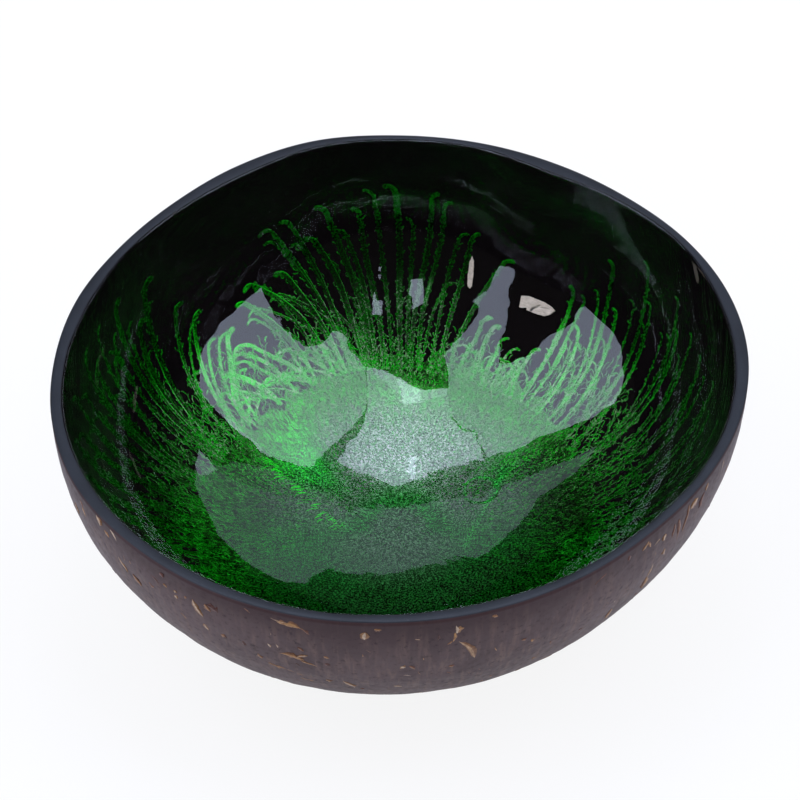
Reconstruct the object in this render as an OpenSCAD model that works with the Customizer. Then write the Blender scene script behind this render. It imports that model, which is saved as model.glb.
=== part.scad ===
// Bowl made from the germ end of a coconut shell, lacquered inside.
// +Z is up, the origin is the centre of the ground foot, and every length is in millimetres.
// A place on the bowl is an azimuth in degrees from +X and a row, 0 at the rim and 1 at the pole.

/* [Shell] */
// Mean diameter of the cut edge
rim_d = 136; // [110:1:160]
// Depth of the shell from its cut edge to its pole, before the foot is ground flat
shell_depth = 53.6; // [44:0.2:66]
// Mean thickness of the wall at the cut edge
rim_wall = 1.95; // [1.6:0.05:3]
// Thickness of the wall at the pole, before the foot is ground flat
floor_wall = 3; // [2.4:0.1:4]
// Mean diameter of the ground foot
foot_d = 30; // [20:1:32]

/* [Germ eyes] */
// Diameter of the circle on which the three eyes lie
eye_ring_d = 41; // [39:0.5:50]
// Azimuth of the soft eye, which goes right through the shell
eye_azimuth = 30; // [0:1:359]
// Diameter of each eye
eye_d = 8.5; // [6:0.1:9]
// Depth of the dimple of each eye in the underside
eye_dimple = 1; // [0.5:0.1:1.4]

/* [Coats] */
// Thickness of the black lacquer on the inside
lacquer_t = 0.4; // [0.25:0.05:0.8]
// Thickness of the green metallic splash on the lacquer
splash_t = 0.15; // [0.1:0.01:0.2]
// Thickness of the clear coat over bare lacquer
clear_t = 0.3; // [0.25:0.05:0.6]
// Thickness of the coat on the cut edge
rim_coat_t = 0.2; // [0.1:0.05:0.5]

/* [Splash] */
// Sideways lean of a strand's tip, in degrees
strand_lean = 4.5; // [0:0.5:5]
// Number of tufts that the strands fan out from
tuft_count = 5; // [3:1:6]
// Azimuth of the middle of the back tuft
tuft_azimuth = 95; // [0:1:359]

/* [Eggshell chips] */
// Length of the large chip, which lies across the wall
chip_l = 8.7; // [6:0.1:12]
// Width of the large chip
chip_w = 3.5; // [2.5:0.1:5]
// Length of the small chip, which stands up the wall
sliver_l = 7.3; // [5:0.1:10]
// Width of the small chip
sliver_w = 1.4; // [1:0.1:2]

/* [Hidden] */
$fn = 96;

// Radius of the cut edge at every 15 degrees, as a share of its mean
rim_shares = [
    1.014, 1.019, 1.014, 1.003, 1.003, 1.009, 1.013, 1.021,
    0.999, 0.974, 0.969, 0.982, 0.993, 1.011, 1.024, 1.022,
    1.021, 1.015, 1.003, 0.991, 0.978, 0.969, 0.980, 0.999
];
// Thickness of the wall at the cut edge at every 15 degrees, as a share of its mean
rim_wall_shares = [
    1.15, 1.08, 0.67, 0.87, 1.45, 0.75, 0.60, 0.98,
    1.43, 1.11, 0.92, 1.22, 1.01, 1.01, 1.15, 1.01,
    1.00, 0.87, 0.94, 1.01, 0.82, 0.80, 0.80, 0.98
];
// Powers of the profile (radius share)^side + (depth share)^base = 1
side_power = 2.5;
base_power = 2.25;

// Row that each strand of the splash reaches on the wall, at every 7.5 degrees
strand_reach_shares = [
    0.22, 0.20, 0.20, 0.17, 0.16, 0.11, 0.17, 0.29,
    0.50, 0.28, 0.24, 0.15, 0.12, 0.15, 0.17, 0.18,
    0.30, 0.42, 0.42, 0.25, 0.11, 0.09, 0.09, 0.10,
    0.14, 0.20, 0.16, 0.22, 0.30, 0.22, 0.28, 0.20,
    0.30, 0.24, 0.34, 0.26, 0.22, 0.30, 0.24, 0.32,
    0.22, 0.28, 0.20, 0.26, 0.18, 0.24, 0.17, 0.22
];
// Row at which the strands part from the pool
strand_root_share = 0.5;
// How much of its width a strand has lost at its tip
strand_taper_share = 0.75;

// Outline of the large chip: up the wall as shares of its width, across it as shares of its length
chip_shares = [
    [-0.38, 0.47], [0.21, 0.50], [0.37, 0.41], [0.50, 0.13], [0.39, -0.13], [0.20, -0.50],
    [-0.14, -0.41], [-0.41, -0.25], [-0.50, 0.02], [-0.42, 0.23], [-0.24, 0.33], [-0.39, 0.38]
];
// Outline of the small chip: up the wall as shares of its length, across it as shares of its width
sliver_shares = [
    [0.50, 0.25], [0.35, -0.15], [-0.02, -0.40], [-0.42, -0.50],
    [-0.50, -0.25], [-0.44, 0.20], [-0.13, 0.45], [0.33, 0.50]
];
chip_azimuth = 57.4;
chip_row_share = 0.384;
sliver_azimuth = 74.6;
sliver_row_share = 0.347;

// Columns and rows of the plain skins, and of the skin that the splash lies on
columns = 60;
rows = 10;
strand_columns = 2 * len(strand_reach_shares);
strand_rows = 12;
root_row = round(strand_root_share * strand_rows);
// Reach of a cutter past what it cuts
overrun = 2;
// Bevel of the rim coat's two edges, as a share of its thickness
bevel_share = 0.5;

rim_r = rim_d / 2;
foot_row_share = row_at(foot_d / rim_d);
eye_row_share = row_at(eye_ring_d / rim_d);
rim_z = shell_depth * depth_share(foot_row_share);

function row_at(radius_share) = acos(pow(radius_share, side_power / 2)) / 90;
function radius_share(row) = pow(cos(90 * row), 2 / side_power);
function depth_share(row) = pow(sin(90 * row), 2 / base_power);

// Smooth closed curve through a ring of values that are evenly spaced from azimuth 0
function ring_value(values, azimuth) =
    let (
        count = len(values),
        place = (azimuth + 360) / 360 * count,
        first = floor(place),
        t = place - first,
        a = values[(first - 1) % count],
        b = values[first % count],
        c = values[(first + 1) % count],
        d = values[(first + 2) % count]
    )
    b + t / 2 * (c - a + t * (2 * a - 5 * b + 4 * c - d + t * (3 * (b - c) + d - a)));

// Outward and downward parts of the profile's unit normal
function normal_parts(row) =
    let (
        across = side_power * pow(radius_share(row), side_power - 1) / rim_r,
        down = base_power * pow(depth_share(row), base_power - 1) / shell_depth
    )
    [across, down] / norm([across, down]);

// Point of the surface that lies a given depth inside the shell's outer skin
function skin_point(azimuth, row, inset) =
    let (
        normal = normal_parts(row),
        reach = rim_r * ring_value(rim_shares, azimuth) * radius_share(row) - inset * normal[0]
    )
    [
        reach * cos(azimuth),
        reach * sin(azimuth),
        rim_z - shell_depth * depth_share(row) + inset * normal[1]
    ];

// Depth of the shell's inner skin, and of each coat's inner skin, below the outer one
function wall(azimuth, row) =
    floor_wall + (rim_wall * ring_value(rim_wall_shares, azimuth) - floor_wall) * (1 - row);
function lacquered(azimuth, row) = wall(azimuth, row) + lacquer_t;
function splashed(azimuth, row) = lacquered(azimuth, row) + splash_t;
function cleared(azimuth, row) = lacquered(azimuth, row) + clear_t;

// Points of a plain skin, ring by ring from the rim, then its last point
function column_azimuth(column) = 360 * column / columns;
function outer_points() =
    [
        for (row = [0 : rows - 1], column = [0 : columns - 1])
            skin_point(column_azimuth(column), foot_row_share * row / (rows - 1), 0),
        [0, 0, 0]
    ];
function inner_points(inset) =
    [
        for (row = [0 : rows - 1], column = [0 : columns - 1])
            let (azimuth = column_azimuth(column), share = row / rows)
                skin_point(azimuth, share, inset(azimuth, share)),
        skin_point(0, 1, inset(0, 1))
    ];

// Strands are the even columns of the splash's skin, and the gaps between them are the odd ones
function strand_of(line) = floor(line / 2);
function strand_reach(line) = strand_reach_shares[strand_of(line) % len(strand_reach_shares)];
function tip_row(line) = min(root_row, round(strand_reach(line) * strand_rows));
function line_row(line, row) =
    row == tip_row(line) && row < root_row ? strand_reach(line) : row / strand_rows;
// How far a strand has narrowed and leaned: 0 at the rim and at its root, 1 at its tip
function strand_growth(line, row) =
    let (reach = strand_reach(line))
    row > reach ? max(0, strand_root_share - row) / max(strand_root_share - reach, 1 / strand_rows)
                : row / reach;
function line_azimuth(line, row) =
    let (
        pitch = 720 / strand_columns,
        middle = strand_of(line) * pitch,
        side = line % 2 == 0 ? -1 : 1,
        growth = strand_growth(line, row),
        lean = strand_lean * sin(tuft_count * (middle - tuft_azimuth))
    )
    middle + lean * growth + side * pitch / 4 * (1 - strand_taper_share * growth);
function strand_points(inset) =
    [
        for (row = [0 : strand_rows - 1], line = [0 : strand_columns - 1])
            let (share = line_row(line, row), azimuth = line_azimuth(line, share))
                skin_point(azimuth, share, inset(azimuth, share)),
        skin_point(0, 1, inset(0, 1))
    ];

// Whether the splash covers the cell to the left of a line and below a row
function covered(line, row) = row >= (line % 2 == 0 ? tip_row(line) : root_row);

// One cell of a skin, facing the bowl's axis; the last row's cells meet at the pole
function cell_faces(first, columns, rows, column, row) =
    let (
        next = (column + 1) % columns,
        right = first + row * columns + column,
        left = first + row * columns + next
    )
    row == rows - 1
        ? [[left, right, first + rows * columns]]
        : [[left, right, right + columns], [left, right + columns, left + columns]];
function skin_faces(first, columns, rows) =
    [for (row = [0 : rows - 1], column = [0 : columns - 1])
        each cell_faces(first, columns, rows, column, row)];
function turned(faces) = [for (face = faces) [face[2], face[1], face[0]]];

// Flat strip, facing up, between an outer ring and an inner one
function strip_faces(outer, outer_count, inner, inner_count) =
    [
        for (i = [0 : outer_count - 1])
            [
                outer + (i + 1) % outer_count,
                outer + i,
                inner + round((i + 0.5) * inner_count / outer_count) % inner_count
            ],
        for (i = [0 : inner_count - 1])
            [
                inner + i,
                inner + (i + 1) % inner_count,
                outer + ceil((i + 0.5) * outer_count / inner_count - 0.5) % outer_count
            ]
    ];

// Cells of the splash's skin that it covers, or that it leaves bare
function splash_cells(first, inside) =
    [for (row = [0 : strand_rows - 1], line = [0 : strand_columns - 1])
        if (covered(line, row) == inside)
            each cell_faces(first, strand_columns, strand_rows, line, row)];
// The splash's edge, facing away from it, from a lower skin's first point to an upper skin's
function splash_edge(lower, upper) =
    [for (row = [0 : root_row], line = [0 : strand_columns - 1])
        let (
            next = (line + 1) % strand_columns,
            here = row * strand_columns + line,
            left = row * strand_columns + next,
            below = left + strand_columns,
            cover = covered(line, row)
        )
        each concat(
            cover && row == tip_or_root(line) ? edge_faces(lower, upper, left, here) : [],
            cover && !covered(next, row) ? edge_faces(lower, upper, below, left) : [],
            !cover && covered(next, row) ? edge_faces(lower, upper, left, below) : []
        )];
function tip_or_root(line) = line % 2 == 0 ? tip_row(line) : root_row;
function edge_faces(lower, upper, a, b) =
    [[lower + a, lower + b, upper + b], [lower + a, upper + b, upper + a]];

// Closed solid between two skins whose rims a flat strip joins
module layer(outer, outer_count, outer_rows, inner, inner_count, inner_rows) {
    inner_first = len(outer);
    polyhedron(
        points = concat(outer, inner),
        faces = concat(
            turned(skin_faces(0, outer_count, outer_rows)),
            skin_faces(inner_first, inner_count, inner_rows),
            strip_faces(0, outer_count, inner_first, inner_count)
        )
    );
}

// Puts its children on a surface of the bowl: Z points into the bowl and X up the wall
module on_skin(azimuth, row, inset) {
    normal = normal_parts(row);
    translate(skin_point(azimuth, row, inset))
        rotate([0, -atan2(normal[0], normal[1]), azimuth])
            children();
}

// The half shell before its eyes are made
module shell_blank() {
    layer(
        outer_points(), columns, rows,
        inner_points(function(azimuth, row) wall(azimuth, row)), columns, rows
    );
}

// Bore of the soft eye, through the whole wall
module eye_bore() {
    on_skin(eye_azimuth, eye_row_share, 0)
        translate([0, 0, -overrun])
            cylinder(d = eye_d, h = floor_wall + 2 * overrun);
}

// Round dimple in the underside at each of the three eyes
module eye_dimples() {
    ball_r = (pow(eye_d / 2, 2) + pow(eye_dimple, 2)) / (2 * eye_dimple);
    for (turn = [0 : 120 : 240])
        on_skin(eye_azimuth + turn, eye_row_share, 0)
            translate([0, 0, eye_dimple - ball_r])
                sphere(r = ball_r);
}

module coconut_shell() {
    color("#5c4638")
        difference() {
            shell_blank();
            eye_bore();
            eye_dimples();
        }
}

module eye_plug() {
    color("#3a2a20")
        difference() {
            intersection() {
                shell_blank();
                eye_bore();
            }
            eye_dimples();
        }
}

module black_lacquer_lining() {
    color("#0b0b0c")
        layer(
            inner_points(function(azimuth, row) wall(azimuth, row)), columns, rows,
            strand_points(function(azimuth, row) lacquered(azimuth, row)), strand_columns, strand_rows
        );
}

module rim_coat() {
    bevel = bevel_share * rim_coat_t;
    function edge_ring(inset_of, lift) =
        [for (column = [0 : columns - 1])
            let (azimuth = column_azimuth(column))
                skin_point(azimuth, 0, inset_of(wall(azimuth, 0))) + [0, 0, lift]];
    rings = [
        edge_ring(function(width) 0, 0),
        edge_ring(function(width) bevel, rim_coat_t),
        edge_ring(function(width) width - bevel, rim_coat_t),
        edge_ring(function(width) width, 0)
    ];
    color("#474b50")
        polyhedron(
            points = [for (ring = rings) each ring],
            faces = [for (i = [0 : len(rings) - 1])
                each strip_faces(i * columns, columns, (i + 1) % len(rings) * columns, columns)]
        );
}

module green_splash() {
    lower = strand_points(function(azimuth, row) lacquered(azimuth, row));
    upper = strand_points(function(azimuth, row) splashed(azimuth, row));
    upper_first = len(lower);
    color("#0d7a16")
        polyhedron(
            points = concat(lower, upper),
            faces = concat(
                turned(splash_cells(0, true)),
                splash_cells(upper_first, true),
                splash_edge(0, upper_first)
            )
        );
}

// The clear coat before the chips are let into it
module clear_blank() {
    lower = strand_points(function(azimuth, row) lacquered(azimuth, row));
    upper = strand_points(function(azimuth, row) splashed(azimuth, row));
    face = inner_points(function(azimuth, row) cleared(azimuth, row));
    upper_first = len(lower);
    face_first = upper_first + len(upper);
    polyhedron(
        points = concat(lower, upper, face),
        faces = concat(
            turned(splash_cells(0, false)),
            turned(splash_cells(upper_first, true)),
            turned(splash_edge(0, upper_first)),
            skin_faces(face_first, columns, rows),
            strip_faces(0, strand_columns, face_first, columns)
        )
    );
}

// Prism through the clear coat at a chip's place
module chip_prism(azimuth, row, up, across, shares) {
    on_skin(azimuth, row, lacquered(azimuth, row))
        translate([0, 0, -overrun / 2])
            linear_extrude(height = clear_t + overrun)
                polygon([for (share = shares) [up * share[0], across * share[1]]]);
}

module large_chip_prism() {
    chip_prism(chip_azimuth, chip_row_share, chip_w, chip_l, chip_shares);
}

module small_chip_prism() {
    chip_prism(sliver_azimuth, sliver_row_share, sliver_l, sliver_w, sliver_shares);
}

module clear_coat() {
    color([0.85, 0.95, 0.88, 0.3])
        difference() {
            clear_blank();
            large_chip_prism();
            small_chip_prism();
        }
}

module eggshell_chip_large() {
    color("#e1d2c0")
        intersection() {
            clear_blank();
            large_chip_prism();
        }
}

module eggshell_chip_small() {
    color("#e1d2c0")
        intersection() {
            clear_blank();
            small_chip_prism();
        }
}

coconut_shell();
eye_plug();
black_lacquer_lining();
rim_coat();
green_splash();
clear_coat();
eggshell_chip_large();
eggshell_chip_small();
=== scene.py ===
"""Looks of the coconut shell bowl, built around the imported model.

Lengths are in metres, and MM turns a size in millimetres into them. A place on the bowl is an
azimuth in degrees from +X and a row, 0 at the rim and 1 at the pole, as in the part's own source.
"""

import math

import bmesh
import bpy
import numpy as np
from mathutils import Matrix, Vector
from mathutils.geometry import tessellate_polygon


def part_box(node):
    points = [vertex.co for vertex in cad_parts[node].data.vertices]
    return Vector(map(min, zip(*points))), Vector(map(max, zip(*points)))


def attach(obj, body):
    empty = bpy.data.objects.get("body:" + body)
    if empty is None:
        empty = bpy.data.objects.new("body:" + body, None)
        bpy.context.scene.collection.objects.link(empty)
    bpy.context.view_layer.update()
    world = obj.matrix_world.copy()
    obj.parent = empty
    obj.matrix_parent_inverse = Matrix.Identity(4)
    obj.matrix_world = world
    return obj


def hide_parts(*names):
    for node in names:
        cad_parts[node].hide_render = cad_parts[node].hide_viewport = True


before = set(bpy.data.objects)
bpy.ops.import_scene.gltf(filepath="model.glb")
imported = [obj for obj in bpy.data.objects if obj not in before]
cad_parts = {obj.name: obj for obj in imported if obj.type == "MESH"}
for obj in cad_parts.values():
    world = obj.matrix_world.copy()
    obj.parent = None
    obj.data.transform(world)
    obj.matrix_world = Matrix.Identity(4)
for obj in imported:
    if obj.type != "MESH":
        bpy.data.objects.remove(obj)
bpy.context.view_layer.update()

MM = 0.001

# Shell and coats, at the sizes of the part
RIM_R = 68 * MM
SHELL_DEPTH = 53.6 * MM
RIM_WALL = 1.95 * MM
FLOOR_WALL = 3 * MM
FOOT_R = 15 * MM
SIDE_POWER = 2.5
BASE_POWER = 2.25
LACQUER_T = 0.4 * MM
CLEAR_T = 0.3 * MM
RIM_COAT_T = 0.2 * MM
RIM_LAP = 0.28 * MM
EYE_RING_R = 20.5 * MM
EYE_AZIMUTH = 30
EYE_R = 4.25 * MM
EYE_DIMPLE = 1 * MM
RIM_SHARES = (
    1.014, 1.019, 1.014, 1.003, 1.003, 1.009, 1.013, 1.021,
    0.999, 0.974, 0.969, 0.982, 0.993, 1.011, 1.024, 1.022,
    1.021, 1.015, 1.003, 0.991, 0.978, 0.969, 0.980, 0.999,
)
RIM_WALL_SHARES = (
    1.15, 1.08, 0.67, 0.87, 1.45, 0.75, 0.60, 0.98,
    1.43, 1.11, 0.92, 1.22, 1.01, 1.01, 1.15, 1.01,
    1.00, 0.87, 0.94, 1.01, 0.82, 0.80, 0.80, 0.98,
)
WALL_FADE = 3
RIM_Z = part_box("coconut_shell")[1].z

# Rows where skins stop short of the pole: hidden ones, and faces that show
HIDDEN_END = 0.99
FACE_END = 0.995

# Camera: it looks 45 degrees down at a point just under the middle of the rim
CAMERA_ELEVATION = 45
CAMERA_DISTANCE = 510 * MM
CAMERA_AIM = Vector((0.4 * MM, 0, RIM_Z - 11.9 * MM))
SENSOR_W = 36
CAMERA_LENS = 114.8
PHOTO_SIZE = 800
TILT = math.radians(CAMERA_ELEVATION)
CAMERA_PLACE = CAMERA_AIM + CAMERA_DISTANCE * Vector((0, -math.cos(TILT), math.sin(TILT)))


# Shapes of numbers

def unit(values):
    """Values held between 0 and 1."""
    return np.clip(values, 0, 1)


def sine(degrees):
    return np.sin(np.radians(degrees))


def hump(offset, reach):
    """Smooth hump of height 1 over an offset of 0."""
    return np.exp(-(offset / reach) ** 2)


# Surface of the bowl

def radius_share(row):
    return np.cos(np.radians(90 * row)) ** (2 / SIDE_POWER)


def depth_share(row):
    return sine(90 * row) ** (2 / BASE_POWER)


def row_at(share):
    """Row at which the shell's radius is that share of the rim's."""
    return math.degrees(math.acos(share ** (SIDE_POWER / 2))) / 90


def ring_value(values, azimuth):
    """Smooth closed curve through values that are evenly spaced from azimuth 0."""
    values = np.asarray(values)
    place = np.asarray(azimuth) % 360 / 360 * len(values)
    first = np.floor(place).astype(int)
    t = place - first
    a, b, c, d = (values[(first + i) % len(values)] for i in (-1, 0, 1, 2))
    return b + t / 2 * (c - a + t * (2 * a - 5 * b + 4 * c - d + t * (3 * (b - c) + d - a)))


def profile_normal(row):
    """Outward and downward parts of the profile's unit normal."""
    across = SIDE_POWER * radius_share(row) ** (SIDE_POWER - 1) / RIM_R
    down = BASE_POWER * depth_share(row) ** (BASE_POWER - 1) / SHELL_DEPTH
    size = np.hypot(across, down)
    return across / size, down / size


def skin(azimuth, row, inset):
    """Points that lie a given depth inside the shell's outer skin."""
    azimuth, row, inset = np.broadcast_arrays(azimuth, row, inset)
    across, down = profile_normal(row)
    reach = RIM_R * ring_value(RIM_SHARES, azimuth) * radius_share(row) - inset * across
    angle = np.radians(azimuth)
    height = RIM_Z - SHELL_DEPTH * depth_share(row) + inset * down
    return np.stack([reach * np.cos(angle), reach * np.sin(angle), height], -1)


def inward(azimuth, row):
    """Unit normals that point into the bowl."""
    azimuth, row = np.broadcast_arrays(azimuth, row)
    across, down = profile_normal(row)
    angle = np.radians(azimuth)
    return np.stack([-across * np.cos(angle), -across * np.sin(angle), down], -1)


def wall(azimuth, row):
    """Thickness of the shell's wall. The cut edge's unevenness fades, as the coats level it."""
    even = FLOOR_WALL + (RIM_WALL - FLOOR_WALL) * (1 - row)
    return even + RIM_WALL * (ring_value(RIM_WALL_SHARES, azimuth) - 1) * (1 - row) ** WALL_FADE


def on_wall(azimuth, row, lift=0):
    """Points at a height over the shell's inner face."""
    return skin(azimuth, row, wall(azimuth, row) + lift)


def on_lacquer(azimuth, row, lift=0):
    """Points at a height over the black lacquer."""
    return on_wall(azimuth, row, LACQUER_T + lift)


def clear_face(azimuth, row):
    return on_lacquer(azimuth, row, CLEAR_T)


def arc_table():
    """Rows and the length of wall from the rim down to them."""
    rows = np.linspace(0, 1, 400)
    points = np.stack([RIM_R * radius_share(rows), SHELL_DEPTH * depth_share(rows)], -1)
    steps = np.linalg.norm(np.diff(points, axis=0), axis=1)
    return rows, np.concatenate([[0], np.cumsum(steps)])


ARC_ROWS, ARC_LENGTHS = arc_table()
FOOT_ROW = row_at(FOOT_R / RIM_R)
EYE_ROW = row_at(EYE_RING_R / RIM_R)


def arc_at(row):
    """Length of wall from the rim down to a row."""
    return np.interp(row, ARC_ROWS, ARC_LENGTHS)


def row_down(arc):
    """Row at a length of wall down from the rim."""
    return np.interp(arc, ARC_LENGTHS, ARC_ROWS)


class Ripples:
    """Smooth unevenness: a sum of plane waves that cross in all directions."""

    def __init__(self, seed, shortest, longest, height, count=28):
        random = np.random.default_rng(seed)
        lengths = np.exp(random.uniform(np.log(shortest), np.log(longest), count))
        directions = random.normal(size=(count, 3))
        directions /= np.linalg.norm(directions, axis=1)[:, None]
        self.waves = 2 * np.pi * directions / lengths[:, None]
        self.phases = random.uniform(0, 2 * np.pi, count)
        self.heights = height * (lengths / longest) * math.sqrt(2 / count)

    def at(self, points):
        return np.sin(points @ self.waves.T + self.phases) @ self.heights


# Meshes

def add_mesh(name, verts, faces, smooth=True):
    mesh = bpy.data.meshes.new(name)
    mesh.from_pydata(np.asarray(verts).reshape(-1, 3).tolist(), [], faces)
    mesh.update()
    if smooth:
        mesh.shade_smooth()
    piece = bpy.data.objects.new(name, mesh)
    bpy.context.collection.objects.link(piece)
    return piece


def grid_faces(rings, columns):
    """Quads between rings of points that close round the bowl, ring after ring."""
    ring, column = np.meshgrid(np.arange(rings - 1), np.arange(columns), indexing="ij")
    here = ring * columns + column
    beside = ring * columns + (column + 1) % columns
    quads = np.stack([here, here + columns, beside + columns, beside], -1)
    return quads.reshape(-1, 4).tolist()


def lofted(name, rings, first_pole, last_pole):
    """Closed skin through rings of points, with a pole closing each end."""
    count, columns = rings.shape[:2]
    verts = np.concatenate([rings.reshape(-1, 3), [first_pole], [last_pole]])
    faces = grid_faces(count, columns)
    start, end = count * columns, count * columns + 1
    last = (count - 1) * columns
    for column in range(columns):
        beside = (column + 1) % columns
        faces.append([start, column, beside])
        faces.append([end, last + beside, last + column])
    piece = add_mesh(name, verts, faces)
    face_outwards(piece)
    return piece


def face_outwards(piece):
    work = bmesh.new()
    work.from_mesh(piece.data)
    bmesh.ops.recalc_face_normals(work, faces=work.faces)
    work.to_mesh(piece.data)
    work.free()


def azimuths(columns):
    return 360 * np.arange(columns) / columns


def set_attribute(piece, name, values):
    layer = piece.data.attributes.new(name=name, type="FLOAT", domain="POINT")
    layer.data.foreach_set("value", np.asarray(values, float).ravel())


def rows_between(first, last, count):
    return np.linspace(first, last, count)[:, None]


def finish_piece(piece, node, material):
    piece.data.materials.append(material)
    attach(piece, "root")
    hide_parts(node)
    return piece


# Materials

class Nodes:
    """The node tree of a material or a world, with short calls to add and join nodes."""

    def __init__(self, owner, output="ShaderNodeOutputMaterial"):
        owner.use_nodes = True
        self.owner = owner
        self.tree = owner.node_tree
        self.tree.nodes.clear()
        self.output = self.tree.nodes.new(output)

    def add(self, kind, inputs, output=0, **settings):
        """Adds a node and returns one of its outputs. An input takes a value or another output."""
        made = self.tree.nodes.new("ShaderNode" + kind)
        for key, value in settings.items():
            setattr(made, key, value)
        for key, value in inputs.items():
            socket = made.inputs[key]
            if isinstance(value, bpy.types.NodeSocket):
                self.tree.links.new(value, socket)
            elif socket.type == "RGBA":
                socket.default_value = (*value, 1)
            else:
                socket.default_value = value
        return made.outputs[output]

    def math(self, operation, a, b):
        return self.add("Math", {0: a, 1: b}, operation=operation)

    def plus(self, a, b):
        return self.math("ADD", a, b)

    def minus(self, a, b):
        return self.math("SUBTRACT", a, b)

    def times(self, a, b):
        return self.math("MULTIPLY", a, b)

    def ramp(self, factor, *stops):
        """Colour ramp through stops, each a place with a colour or with one number for a grey."""
        colours = self.add("ValToRGB", {"Fac": factor}, "Color")
        elements = colours.node.color_ramp.elements
        while len(elements) < len(stops):
            elements.new(0.5)
        for element, (place, colour) in zip(elements, stops):
            element.position = place
            element.color = (*np.broadcast_to(colour, 3), 1)
        return colours

    def tones(self, factor, first, last, low=0.3, high=0.7):
        return self.ramp(factor, (low, first), (high, last))

    def steps(self, factor, low, high):
        inputs = {"Value": factor, "From Min": low, "From Max": high}
        return self.add("MapRange", inputs, "Result", interpolation_type="SMOOTHSTEP")

    def mix(self, factor, a, b, blend="MIX"):
        inputs = {0: factor, 6: a, 7: b}
        return self.add("Mix", inputs, 2, data_type="RGBA", blend_type=blend, clamp_factor=True)

    def place(self):
        """Position on the object, in metres."""
        return self.add("TexCoord", {}, "Object")

    def scaled(self, vector, scale):
        return self.add("VectorMath", {0: vector, 1: scale}, operation="MULTIPLY")

    def noise(self, scale, detail, roughness, distortion=0.0, vector=None):
        """Noise over the position on the object, or over another vector."""
        inputs = {
            "Vector": vector or self.place(), "Scale": scale, "Detail": detail,
            "Roughness": roughness, "Distortion": distortion,
        }
        return self.add("TexNoise", inputs, "Fac")

    def strokes(self, around, down, detail, roughness, distortion):
        """Noise in strokes up the wall, by their number round the bowl and from rim to pole."""
        vector = self.scaled(self.add("UVMap", {}, uv_map="wall"), (around, down, 1))
        return self.noise(1, detail, roughness, distortion, vector)

    def attribute(self, name):
        return self.add("Attribute", {}, "Fac", attribute_name=name)

    def ray(self, kind):
        return self.add("LightPath", {}, f"Is {kind} Ray")

    def bump(self, height, strength, distance):
        return self.add("Bump", {"Height": height, "Strength": strength, "Distance": distance})

    def glow(self, colour, strength):
        return self.add("Emission", {"Color": colour, "Strength": strength})

    def either(self, share, shader, other):
        """A shader that gives way to another one as the share goes from 0 to 1."""
        return self.add("MixShader", {0: share, 1: shader, 2: other})

    def surface(self, shader):
        self.tree.links.new(shader, self.output.inputs["Surface"])
        return self.owner

    def principled(self, **inputs):
        names = {key.replace("_", " "): value for key, value in inputs.items()}
        return self.surface(self.add("BsdfPrincipled", names))


def new_material(name):
    return Nodes(bpy.data.materials.new(name))


def shell_material():
    """Dark polished shell, whose fibres run from pole to rim, with a redder band at its edge that
    is painted shade under the rim coat.
    """
    nodes = new_material("shell")
    speckle = nodes.noise(900, 3, 0.6)
    streaks = nodes.strokes(260, 9, 4, 0.6, 0.3)
    base = nodes.tones(nodes.noise(60, 4, 0.6), (0.069, 0.041, 0.038), (0.108, 0.067, 0.061))
    streaked = nodes.mix(nodes.steps(streaks, 0.45, 0.75), base, (0.145, 0.088, 0.068))
    dark = nodes.mix(nodes.steps(speckle, 0.55, 0.75), streaked, (0.045, 0.028, 0.027))
    # Painted shade: a dark red-brown band along the rim, fading down the outside
    band = nodes.times(nodes.attribute("rim_band"), 0.85)
    relief = nodes.plus(nodes.times(streaks, 0.6), nodes.times(speckle, 0.4))
    return nodes.principled(
        Base_Color=nodes.mix(band, dark, (0.040, 0.019, 0.018)),
        Roughness=nodes.tones(speckle, 0.42, 0.56),
        Specular_IOR_Level=0.15,
        Normal=nodes.bump(relief, 0.25, 0.15 * MM),
    )


def fleck_material():
    """Fibre ends, from pale and golden ones to dark red ones as the tone rises from 0 to 1."""
    nodes = new_material("shell_flecks")
    colour = nodes.ramp(
        nodes.attribute("tone"), (0.0, (0.60, 0.46, 0.31)), (0.35, (0.42, 0.22, 0.075)),
        (0.7, (0.16, 0.065, 0.045)), (1.0, (0.030, 0.012, 0.010)),
    )
    shade = nodes.tones(nodes.noise(1600, 3, 0.6), (0.55, 0.5, 0.5), 1.0, 0.35, 0.65)
    return nodes.principled(
        Base_Color=nodes.mix(1.0, colour, shade, "MULTIPLY"),
        Roughness=0.48,
        Specular_IOR_Level=0.25,
    )


def plug_material():
    nodes = new_material("plug")
    grain = nodes.noise(1400, 4, 0.65)
    return nodes.principled(
        Base_Color=nodes.tones(grain, (0.030, 0.018, 0.012), (0.11, 0.066, 0.042), high=0.75),
        Roughness=0.6,
        Normal=nodes.bump(grain, 0.4, 0.2 * MM),
    )


def black_lacquer_material():
    """Black without a gloss of its own, since all gloss comes from the clear coat over it."""
    nodes = new_material("black_lacquer")
    cloud = nodes.noise(90, 3, 0.5)
    return nodes.principled(
        Base_Color=nodes.tones(cloud, (0.0036, 0.0022, 0.0026), (0.0046, 0.0029, 0.0034)),
        Roughness=0.5,
        Specular_IOR_Level=0.0,
    )


def rim_material():
    nodes = new_material("rim_coat")
    grain = nodes.noise(2600, 2, 0.5)
    tone = nodes.tones(nodes.noise(120, 3, 0.5), (0.0065, 0.008, 0.010), (0.013, 0.0155, 0.019))
    return nodes.principled(
        Base_Color=nodes.mix(nodes.steps(grain, 0.62, 0.8), tone, (0.028, 0.031, 0.034)),
        Roughness=nodes.tones(grain, 0.42, 0.55),
        Specular_IOR_Level=0.29,
        Normal=nodes.bump(grain, 0.15, 0.05 * MM),
    )


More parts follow.
